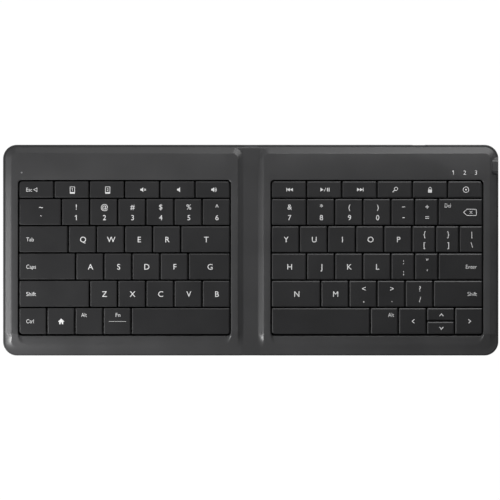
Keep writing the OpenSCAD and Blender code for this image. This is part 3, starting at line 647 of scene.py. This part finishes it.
def deck_frame(side):
    """One deck frame: the upper skin over its outline, closed down to the seam."""
    mirror = side == "left"
    loops, loose = plan_points()
    wells = [well_outline(EDGE_R * share) for share in WELL_STEPS]
    holes = [wells[0]]
    if mirror:
        holes += [circle(-x, y, r + LIGHT_SLACK, 20) for x, y, r in round_places("charge_light")]
    else:
        holes += [circle(x, y, r + LENS_SLACK) for x, y, r in round_places("indicator_lenses")]
    points, faces = triangulate(loops + wells[1:], holes, loose)
    x, y = points.T
    z = surface(x, y)
    if not mirror:
        z = np.maximum(z, button_pad(y, edge_distance(x, y)))
    # the upper edge of the well is rounded
    dx = np.maximum(WELL_X0 - x, x - WELL_X1)
    dy = np.maximum(WELL_Y0 - y, y - WELL_Y1)
    cx = np.maximum(np.abs(x - (WELL_X0 + WELL_X1) / 2) - (WELL_X1 - WELL_X0) / 2 + WELL_R, 0)
    cy = np.maximum(np.abs(y - (WELL_Y0 + WELL_Y1) / 2) - (WELL_Y1 - WELL_Y0) / 2 + WELL_R, 0)
    away = np.where((cx > 0) & (cy > 0), np.hypot(cx, cy) - WELL_R, np.maximum(dx, dy))
    z = round_over(z, away, EDGE_R)
    obj = add_mesh(side + "_deck", np.column_stack([points, z]), faces, SOFT_TOUCH, mirror)
    obj.data.materials.append(RIM)
    bm = bmesh.new()
    bm.from_mesh(obj.data)
    rim = [edge for edge in bm.edges if len(edge.link_faces) == 1]
    # walls down to the seam, drawn in a little to leave a groove there
    rim = extrude_down(bm, rim, PART_Z + SEAM)[1]
    lowest, rim = extrude_down(bm, rim, PART_Z + HAIR)
    for vert in lowest:
        px, py = abs(vert.co.x) / MM, vert.co.y / MM
        if edge_distance(np.array(px), np.array(py)) < HAIR or px < INNER + HAIR:
            vx = min(max(px, INNER + SEAM), SIDE - SEAM)
            vy = min(max(py, -REAR + SEAM), REAR - SEAM)
            corner = Vector((px - (SIDE - CORNER), abs(py) - (REAR - CORNER)))
            if corner.x > 0 and corner.y > 0:
                corner = corner.normalized() * (CORNER - SEAM)
                vx = SIDE - CORNER + corner.x
                vy = math.copysign(REAR - CORNER + corner.y, py)
            vert.co.x = math.copysign(vx * MM, vert.co.x)
            vert.co.y = vy * MM
    bmesh.ops.triangle_fill(bm, use_beauty=True, edges=rim)
    bmesh.ops.recalc_face_normals(bm, faces=bm.faces)
    flat_material_faces(bm)
    bm.to_mesh(obj.data)
    bm.free()
    if not mirror:
        recess = block("recess", BUTTON_LOW[0] - SLACK, SIDE + CUT_OUT, BUTTON_LOW[1] - SLACK,
                       BUTTON_HIGH[1] + SLACK, BUTTON_LOW[2] - TRAVEL, DECK + CUT_OUT, SOFT_TOUCH)
        subtract(obj, [recess, socket_slot(SOFT_TOUCH)])
    shade(obj)
    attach(obj, side + "_half")
    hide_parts(side + "_frame")


def socket_slot(material):
    """The block that cuts the opening of the charging socket."""
    return block("slot", USB_LOW[0] - SLACK, USB_HIGH[0] + SLACK, USB_LOW[1] - SLACK, REAR + CUT_OUT,
                 USB_LOW[2] - SLACK, USB_HIGH[2] + SLACK, material)


CAP_R = 0.12            # rounding of the button's upper edge
CAP_CORNER = 0.3        # radius of its corners
CAP_STEP = 0.2          # distance of the points on its top


def power_button():
    """The button: a piece of the pad, standing in the frame's recess with its edges rounded."""
    x0, x1, y0, y1 = BUTTON_LOW[0], BUTTON_HIGH[0], BUTTON_LOW[1], BUTTON_HIGH[1]
    loops = [rounded_box(x0 + g, x1 - g, y0 + g, y1 - g, (CAP_CORNER - g,) * 4, 0.4, 4)
             for g in (0, 0.03, 0.07, CAP_R)]
    loose = grid_points(x0 + 0.25, x1 - 0.2, y0 + 0.25, y1 - 0.2, CAP_STEP, CAP_STEP)
    points, faces = triangulate(loops, [], loose)
    x, y = points.T
    e = np.maximum(edge_distance(x, y), PAD_EDGE + HAIR / 10)
    z = np.maximum(button_pad(y, e), surface(x, y))
    away = np.minimum(np.minimum(x - x0, x1 - x), np.minimum(y - y0, y1 - y))
    z = round_over(z, away, CAP_R)
    obj = add_mesh("power_button_cap", np.column_stack([points, np.minimum(z, PAD_Z)]), faces, BUTTON)
    bm = bmesh.new()
    bm.from_mesh(obj.data)
    rim = [edge for edge in bm.edges if len(edge.link_faces) == 1]
    rim = extrude_down(bm, rim, BUTTON_LOW[2])[1]
    bmesh.ops.triangle_fill(bm, use_beauty=False, edges=rim)
    bmesh.ops.recalc_face_normals(bm, faces=bm.faces)
    bm.to_mesh(obj.data)
    bm.free()
    shade(obj)
    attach(obj, "power_button")
    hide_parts("power_button")


# ---------- Bottom shells ----------

FOOT_R = 1.2            # rounding of the lower edge
SHELL_T = 1.2           # thickness of the wall
FLOOR_T = 0.8           # thickness of the floor


def bottom_shell(side):
    """A shallow tray with a rounded lower edge, closed and hollow."""
    mirror = side == "left"
    rings = []
    for angle in range(90, -1, -15):
        a = math.radians(angle)
        rings.append((FOOT_R * (1 - math.cos(a)), 0.0, FOOT_R * (1 - math.sin(a))))
    top = PART_Z - HAIR
    rings += [(0.0, 0.0, PART_Z - SEAM), (SEAM, SEAM, top), (SHELL_T, SHELL_T, top),
              (SHELL_T, SHELL_T, FLOOR_T)]
    points = []
    for inset, inner_inset, z in rings:
        loop = half_outline(inset, inner_inset, 8.0)
        points.append(np.column_stack([loop, np.full(len(loop), z)]))
    count = len(points[0])
    faces = [tuple(reversed(range(count)))]
    for k in range(len(rings) - 1):
        a = k * count
        faces += [(a + i, a + (i + 1) % count, a + count + (i + 1) % count, a + count + i)
                  for i in range(count)]
    last = (len(rings) - 1) * count
    faces.append(tuple(range(last, last + count)))
    obj = add_mesh(side + "_bottom_shell", np.vstack(points), faces, RIM, mirror)
    if not mirror:
        subtract(obj, [socket_slot(RIM)])
    shade(obj)
    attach(obj, side + "_half")
    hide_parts(side + "_base")


# ---------- Soft spine ----------

SKIN_T = 0.24           # thickness of the skin
SKIN_FOOT = 0.05        # height of its underside
SKIN_END = INNER + 0.25  # its end inside the wall of a half
SKIN_R = 0.9            # rounding of its lower edges
SKIN_IN = 0.03          # how far it stands back from the front and rear edge
SKIN_LIFT = 0.006       # how far it lies over the frame where both meet


def hinge_skin(side):
    """Half of the soft sleeve round the spine, from its middle to the wall of a half."""
    mirror = side == "left"
    xs = np.concatenate([[0, 1.2, 2.2, 2.8], np.linspace(BEND_START, INNER, 15), [SKIN_END]])
    half = REAR - SKIN_IN
    ends = np.array([0, 0.02, 0.06, 0.12, 0.2, 0.3, 0.4, 0.65])
    ys = np.concatenate([
        -half + ends, [-REAR + RIM_FRONT - 0.05, -REAR + RIM_FRONT, -REAR + 1.2, -REAR + 1.7],
        np.linspace(-60.5, -48.5, 25), np.linspace(-45, 58, 14),
        [REAR - 2.2, REAR - 1.8, REAR - LEDGE_W, REAR - LEDGE_W + 0.1, REAR - 1.0], half - ends[::-1],
    ])
    turn = np.radians(np.linspace(0, 90, 7))
    rear = [(half - SKIN_R * (1 - math.cos(a)), SKIN_FOOT + SKIN_R * (1 - math.sin(a))) for a in turn]
    front = [(-y, z) for y, z in reversed(rear)]
    points = []
    for x in xs:
        lift = SKIN_LIFT if x > INNER - 0.3 else 0.0
        top = [(y, float(surface(x, y)) + lift) for y in ys]
        outer = np.array(top + rear + front)
        tangent = np.roll(outer, -1, axis=0) - np.roll(outer, 1, axis=0)
        tangent /= np.maximum(np.linalg.norm(tangent, axis=1, keepdims=True), 1e-9)
        normal = np.column_stack([tangent[:, 1], -tangent[:, 0]])
        for line in (outer, outer + normal * SKIN_T):
            points.append(np.column_stack([np.full(len(line), x), line]))
    count = len(points[0])
    faces = []

    def strip(a, b, flip):
        for i in range(count):
            j = (i + 1) % count
            quad = (a + i, a + j, b + j, b + i)
            faces.append(tuple(reversed(quad)) if flip else quad)

    for k in range(len(xs) - 1):
        outer0, inner0 = 2 * k * count, (2 * k + 1) * count
        outer1, inner1 = (2 * k + 2) * count, (2 * k + 3) * count
        strip(outer0, outer1, False)
        strip(inner0, inner1, True)
    strip(0, count, True)
    strip((2 * len(xs) - 2) * count, (2 * len(xs) - 1) * count, False)
    obj = add_mesh(side + "_hinge_skin", np.vstack(points), faces, SKIN, mirror)
    obj.data.materials.append(RIM)
    for face in obj.data.polygons:
        y = face.center.y / MM
        if REAR - abs(y) < rim_width(np.array(y)) - HAIR:
            face.material_index = 1
    shade(obj, 50)
    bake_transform(obj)


# ---------- Keys and lights ----------

KEY_BEVEL = 0.13        # width of the caps' softened edges
LENS_BEVEL = 0.08       # the same for the lights


def dress_keys():
    """Gives the key caps their material and softened edges."""
    for name in KEY_NODES:
        obj = frame["nodes"][name]
        coat(obj, KEYCAP)
        bevel(obj, KEY_BEVEL, 2, 20)


def dress_light(node, material):
    """Gives the lenses of a node their material and softened edges."""
    obj = frame["nodes"][node]
    coat(obj, material)
    bevel(obj, LENS_BEVEL, 3)


def key_switches(side):
    """The scissor links and domes as one piece for each key node, fixed to its half."""
    node = side + "_key_switches"
    source = frame["nodes"][node].data
    points = np.array([v.co[:] for v in source.vertices]) / MM
    faces = [tuple(face.vertices) for face in source.polygons]
    centres = np.array([face.center[:] for face in source.polygons]) / MM
    for name in KEY_NODES:
        under = np.zeros(len(faces), bool)
        for x0, y0, x1, y1 in KEY_BOXES[name]:
            x, y = centres[:, :2].T
            under |= (x0 < x) & (x < x1) & (y0 < y) & (y < y1)
        if not under.any():
            continue
        chosen = [face for face, wanted in zip(faces, under) if wanted]
        used = sorted({i for face in chosen for i in face})
        place = {i: k for k, i in enumerate(used)}
        renumbered = [[place[i] for i in face] for face in chosen]
        obj = add_mesh("switches_" + name, points[used], renumbered, SWITCH)
        weld(obj)
        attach(obj, side + "_half")
        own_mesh(obj)
    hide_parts(node)


def weld(obj):
    """Joins the points that lie on each other, and turns every face outward."""
    bm = bmesh.new()
    bm.from_mesh(obj.data)
    bmesh.ops.remove_doubles(bm, verts=bm.verts, dist=1e-7)
    bmesh.ops.recalc_face_normals(bm, faces=bm.faces)
    bm.to_mesh(obj.data)
    bm.free()


# ---------- Printed legends ----------

LETTER = 3.25           # height of a key's capital letter
DIGIT = 3.0             # height of a digit or sign
WORD = 2.3              # height of the capital of a small word
NUDGE = 0.5             # every centred legend stands this far right of the key's middle
SIGN_UP = 3.0           # upper sign on a key, from its middle
SIGN_DOWN = -3.35       # lower sign, from the same
LINE = 0.34             # width of an icon's line
INK = 0.012             # thickness of the print
INK_UP = 0.4            # share of it from the surface up to the middle of the print
MARGIN = 4.1            # left edge of a key to its word
MARGIN_RIGHT = 3.1      # end of a word to the right edge
LENS_DIGIT = 2.5        # height of the numbers on the three lights
BOLD = 0.002            # how much bolder than the font, in its own size
WORD_BOLD = -0.006      # the same for words
ONE_HEIGHT = 3          # height of the drawn figure below
ONE = [(-0.2, -1.5), (0.24, -1.5), (0.24, 1.5), (-0.12, 1.5), (-0.85, 1.0), (-0.85, 0.55), (-0.2, 0.9)]


def text_mesh(body, bold=BOLD):
    """Points and faces of a text in the font's own size."""
    curve = bpy.data.curves.new("text", "FONT")
    curve.body = body
    curve.extrude = 0.5
    curve.offset = bold
    curve.resolution_u = 5
    obj = add_object("text", curve)
    depsgraph = bpy.context.evaluated_depsgraph_get()
    mesh = bpy.data.meshes.new_from_object(obj.evaluated_get(depsgraph))
    bpy.data.objects.remove(obj)
    return np.array([v.co[:] for v in mesh.vertices]), [tuple(f.vertices) for f in mesh.polygons]


CAPITAL = text_mesh("H")[0][:, 1].max()


def text_plate(body, height, x, y, anchor="c", width=None):
    """A flat text, its capitals `height` tall and their middle at y, squeezed to a width if given."""
    if body == "1":
        return plate([np.array(ONE) * height / ONE_HEIGHT], x, y)
    points, faces = text_mesh(body, WORD_BOLD if width else BOLD)
    points[:, :2] *= height / CAPITAL
    if width:
        points[:, 0] *= width / np.ptp(points[:, 0])
    left, right = points[:, 0].min(), points[:, 0].max()
    start = {"c": (left + right) / 2, "l": left, "r": right}[anchor]
    points[:, 0] += x - start
    points[:, 1] += y - height / 2
    points[:, 2] *= INK
    return points, faces


def plate(loops, x=0.0, y=0.0):
    """Points and faces of a flat plate with an outer loop and holes."""
    loops = [np.array(loop, float) + (x, y) for loop in loops]
    corners, top = fill(loops[:1], loops[1:], [], 1e-6)
    n = len(corners)
    points = np.vstack([np.column_stack([corners, np.full(n, z)]) for z in (-INK / 2, INK / 2)])
    faces = [tuple(reversed(f)) for f in top] + [tuple(i + n for i in f) for f in top]
    sides = {}
    for f in top:
        for i in range(3):
            sides[(f[i], f[(i + 1) % 3])] = True
    faces += [(a, b, b + n, a + n) for a, b in sides if (b, a) not in sides]
    return points, faces


def unit(vectors):
    """The vectors, each with a length of one."""
    return vectors / np.linalg.norm(vectors, axis=1, keepdims=True)


def side_step(before, after, width, sharpest):
    """From each point of a line to its outline on the right, with the mitre of sharp turns cut."""
    along = unit(before + after)
    reach = width / 2 / np.maximum((along * after).sum(axis=1), sharpest)
    return np.column_stack([along[:, 1], -along[:, 0]]) * reach[:, None]


def stroke(points, width=LINE):
    """Outline of a line of even width through the points."""
    p = np.array(points, float)
    step = unit(np.diff(p, axis=0))
    right = side_step(np.vstack([step[:1], step]), np.vstack([step, step[-1:]]), width, 0.4)
    return [np.vstack([p + right, (p - right)[::-1]])]


def closed_stroke(points, width=LINE):
    """Outer and inner outline of a closed line, its points anticlockwise."""
    p = np.array(points, float)
    before = unit(p - np.roll(p, 1, axis=0))
    after = unit(np.roll(p, -1, axis=0) - p)
    right = side_step(before, after, width, 0.35)
    return [p + right, p - right]


def arc(cx, cy, r, a0, a1, count=12):
    """Points along an arc, from one angle to another."""
    a = np.radians(np.linspace(a0, a1, count))
    return np.column_stack([cx + r * np.cos(a), cy + r * np.sin(a)])


def ring(cx, cy, r, width=LINE):
    return [circle(cx, cy, r + width / 2, 28), circle(cx, cy, r - width / 2, 28)]


def rounded(x0, x1, y0, y1, r):
    """A small box with round corners."""
    return rounded_box(x0, x1, y0, y1, (r, r, r, r), 9.0, 4)


def flipped(loops):
    """The same outline mirrored left to right."""
    return [np.array(loop, float)[::-1] * (-1, 1) for loop in loops]


def triangle(x0, x1, half):
    """A triangle from its flat side at x0 to its tip at x1."""
    points = np.array([(x0, -half), (x1, 0), (x0, half)])
    return [points if x1 > x0 else points[::-1]]


SPEAKER = [[(-1.5, -0.55), (-0.85, -0.55), (0.2, -1.4), (0.2, 1.4), (-0.85, 0.55), (-1.5, 0.55)]]
SKIP = [[(1.55, -1.05), (1.95, -1.05), (1.95, 1.05), (1.55, 1.05)]]
HOUSE = [[(-1.2, -1.75), (-0.35, -1.75), (-0.35, -0.7), (0.35, -0.7), (0.35, -1.75), (1.2, -1.75),
          (1.2, -0.3), (1.95, -0.3), (0, 1.6), (-1.95, -0.3), (-1.2, -0.3)]]


def cross(cx, cy, r):
    """Two crossed lines."""
    return [stroke([(cx - r, cy - r), (cx + r, cy + r)]), stroke([(cx - r, cy + r), (cx + r, cy - r)])]


def bar(reach, width):
    return [stroke([(-reach, 0), (reach, 0)], width)]


def chevron(angle):
    """An arrow's head, turned by an angle."""
    a = math.radians(angle)
    turn = np.array([[math.cos(a), math.sin(a)], [-math.sin(a), math.cos(a)]])
    return [stroke(np.array([(0.7, 1.15), (-0.7, 0), (0.7, -1.15)]) @ turn, 0.42)]


SHACKLE = np.vstack([[(-0.75, 0.0)], arc(0, 0.65, 0.75, 180, 0), [(0.75, 0.0)]])
ERASE = np.vstack([[(-3.95, 0), (-2.0, -1.85)], arc(3.15, -1.35, 0.5, -90, 0, 5),
                   arc(3.15, 1.35, 0.5, 0, 90, 5), [(-2.0, 1.85)]])
PAUSE = [[[(x, -1.05), (x + 0.5, -1.05), (x + 0.5, 1.05), (x, 1.05)]] for x in (1.2, 2.2)]

# the plates of each icon round its own middle
ICONS = {
    "escape": [closed_stroke([(-1.0, 0), (0.95, -1.1), (0.95, 1.1)], 0.26)],
    "device": [[rounded(-1.5, 1.5, -2.4, 1.85, 0.4), rounded(-1.18, 1.18, -1.45, 1.53, 0.15)]],
    "speaker": [SPEAKER],
    "mute": [SPEAKER] + cross(1.25, 0, 0.5),
    "loud": [SPEAKER] + [stroke(arc(-0.1, 0, r, -48, 48)) for r in (0.95, 1.65)],
    "next": [triangle(-1.9, -0.15, 1.05), triangle(-0.15, 1.6, 1.05), SKIP],
    "play": [triangle(-2.7, -0.8, 1.15), stroke([(-0.5, -1.1), (0.5, 1.1)], 0.25)] + PAUSE,
    "search": [ring(0.3, 0.5, 0.98), stroke([(-0.45, -0.25), (-1.75, -1.5)], 0.5)],
    "lock": [[rounded(-1.15, 1.15, -1.75, 0.15, 0.2)], stroke(SHACKLE)],
    "ring": [ring(0, 0, 1.65), [circle(0, 0, 0.5, 20)]],
    "home": [HOUSE],
    "erase": [closed_stroke(ERASE)] + cross(0.4, 0, 0.8),
    "rule": bar(5.1, 0.16),
    "hyphen": bar(0.65, 0.4),
    "underline": bar(1.0, 0.34),
    "left": chevron(0),
    "down": chevron(90),
    "right": chevron(180),
    "up": chevron(270),
}
ICONS["previous"] = [flipped(loops) for loops in ICONS["next"]]


# A legend is a list of marks: kind, content, height, place x and y, anchor and width. Centred marks
# are placed from the key's middle, "l" marks from its left edge and "r" marks from its right edge.


def letter(text):
    return [("text", text, LETTER, NUDGE, -0.15, "c", None)]


def pair(lower, upper):
    """The legend of a key with two signs."""
    return [sign(lower, SIGN_DOWN), sign(upper, SIGN_UP)]


def sign(text, y):
    """A digit or sign. The low lying dashes are drawn, because the font sets them lower."""
    drawn = {"-": "hyphen", "_": "underline"}
    if text in drawn:
        return ("icon", drawn[text], 0, NUDGE, y, "c", None)
    return ("text", text, DIGIT, NUDGE, y, "c", None)


def word(text, width, anchor="l", x=None, y=-0.1):
    if x is None:
        x = MARGIN if anchor == "l" else -MARGIN_RIGHT
    return [("text", text, WORD, x, y, anchor, width)]


def icon(name, x=NUDGE, y=-0.1, anchor="c"):
    return [("icon", name, 0, x, y, anchor, None)]


def device(number):
    """A device icon with a number in it."""
    return icon("device") + [("text", number, 1.75, NUDGE, -0.05, "c", None)]


UPPER = 3.7             # a word at the top of a key in the front row
LEGENDS = {
    "left_function_keys": [word("Esc", 3.5) + icon("escape", 9.5, -0.1, "l"), device("1"), device("2"),
                           icon("mute"), icon("speaker", 1.4), icon("loud", 0.7)],
    "left_number_keys": [pair(low, high) for low, high in zip("`123456", "~!@#$%^")],
    "left_modifier_keys": [word("Tab", 4.4), word("Caps", 5.7), word("Shift", 5.7), word("Ctrl", 4.4),
                           icon("home", 0.2), word("Alt", 3.3, "l", 3.3, UPPER),
                           word("Fn", 2.7, "c", 0.5, UPPER) + icon("rule", 0.2, -0.2)],
    "right_function_keys": [icon("previous"), icon("play"), icon("next"), icon("search"),
                            icon("lock", 0.05), icon("ring")],
    "right_number_keys": [pair(low, high) for low, high in zip("7890-=", "&*()_+")]
    + [word("Del", 3.5, "l", 3.5, UPPER + 0.15) + icon("erase", -7.0, -0.2, "r")],
    "right_symbol_keys": [pair(low, high) for low, high in zip("[]\\;',./", "{}|:\"<>?")],
    "right_modifier_keys": [word("Shift", 5.5, "r"), icon("up", y=-0.4), word("Alt", 3.5, "r", -2.1, UPPER),
                            icon("left"), icon("right"), icon("down")],
    "enter_key": [word("Enter", 6.5, "r")],
}
for name in KEY_NODES:
    if name.startswith("key_"):
        LEGENDS[name] = [letter(name[-1].upper())]


def print_legends():
    """One printed piece for each key node, lying on its caps."""
    for node, legends in LEGENDS.items():
        parts = []
        for (x0, y0, x1, y1), marks in zip(KEY_BOXES[node], legends):
            for kind, content, height, x, y, anchor, width in marks:
                x += {"c": (x0 + x1) / 2, "l": x0, "r": x1}[anchor]
                y += (y0 + y1) / 2
                if kind == "text":
                    parts.append(text_plate(content, height, x, y, anchor, width))
                else:
                    parts += [plate(loops, x, y) for loops in ICONS[content]]
        lay_print("print_" + node, parts, KEY_TOP, node)


def lay_print(name, parts, z, body):
    """Joins the marks into one piece on the surface at z."""
    points = []
    faces = []
    count = 0
    for part_points, part_faces in parts:
        points.append(part_points + (0, 0, z + INK * INK_UP))
        faces += [tuple(i + count for i in face) for face in part_faces]
        count += len(part_points)
    obj = add_mesh(name, np.vstack(points), faces, PRINT)
    weld(obj)
    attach(obj, body)


def print_numerals():
    """The numbers of the three connection lights, printed on their lenses."""
    top = box_mm("indicator_lenses")[1][2]
    lenses = round_places("indicator_lenses")
    parts = [text_plate(str(i + 1), LENS_DIGIT, x, y) for i, (x, y, _) in enumerate(lenses)]
    lay_print("print_indicators", parts, top, "right_half")


# ---------- Camera, lights and floor ----------

PHOTO_SPAN = 297.45     # what the photograph's width covers
PHOTO_X = -0.43         # middle of the photograph, measured from the keyboard's
PHOTO_Y = 0.10          # the same towards the rear
CAMERA_UP = 2.4         # height of the camera over the deck, in metres
CAMERA_FAR = 50         # how far it sees, in metres
SENSOR = 36.0           # width of its film
FLOOR_SIZE = 6000       # half the floor's width
FLOOR_DOWN = 0.05       # how far it lies under the object
WORLD = 0.02            # strength of the light from all round
LIGHTS = (
    # name, place in metres, width, height, power in watts
    ("left_front", (-0.38, -0.25, 0.27), 0.12, 0.12, 2.40),
    ("left_strip", (-0.23, -0.04, 0.020), 0.16, 0.024, 0.112),
    ("rear", (0.0, 1.0, 0.35), 0.6, 0.3, 0.71),
    ("rear_right", (0.28, 0.42, 0.20), 0.4, 0.4, 1.47),
    ("rear_high", (0.12, 0.35, 0.45), 0.2, 0.2, 0.945),
)


def area_light(name, place, width, height, power):
    """A soft light that points at the middle of the object."""
    data = bpy.data.lights.new(name, "AREA")
    data.shape = "RECTANGLE"
    data.size = width
    data.size_y = height
    data.energy = power
    obj = add_object(name, data)
    obj.location = place
    direction = Vector((0, 0, 0)) - Vector(place)
    obj.rotation_euler = direction.to_track_quat("-Z", "Y").to_euler()


def place_camera():
    """The photograph's view, straight down."""
    data = bpy.data.cameras.new("camera")
    data.type = "PERSP"
    data.sensor_width = SENSOR
    data.lens = SENSOR * CAMERA_UP / (PHOTO_SPAN * MM)
    data.clip_end = CAMERA_FAR
    obj = add_object("camera", data)
    obj.location = (PHOTO_X * MM, PHOTO_Y * MM, CAMERA_UP + DECK * MM)
    bpy.context.scene.camera = obj


def lay_floor():
    """The white ground of the photograph."""
    r = FLOOR_SIZE
    floor = add_mesh("floor", [(-r, -r, 0), (r, -r, 0), (r, r, 0), (-r, r, 0)], [(0, 1, 2, 3)], FLOOR)
    floor.location.z = -FLOOR_DOWN * MM


def light_studio():
    """Soft lights behind and to the left, and a little light from all round."""
    world = bpy.data.worlds.new("studio")
    bpy.context.scene.world = world
    world.use_nodes = True
    back = world.node_tree.nodes["Background"]
    back.inputs["Color"].default_value = (1, 1, 1, 1)
    back.inputs["Strength"].default_value = WORLD
    for light in LIGHTS:
        area_light(*light)
    bpy.context.scene.view_settings.view_transform = "Standard"


# ---------- The whole ----------

dress_nodes()
dress_keys()
for half in ("left", "right"):
    key_switches(half)
    deck_frame(half)
    bottom_shell(half)
    hinge_skin(half)
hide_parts("spine_skin")
power_button()
print_legends()
print_numerals()
dress_light("indicator_lenses", LENS)
dress_light("charge_light", GLOW)
place_camera()
lay_floor()
light_studio()
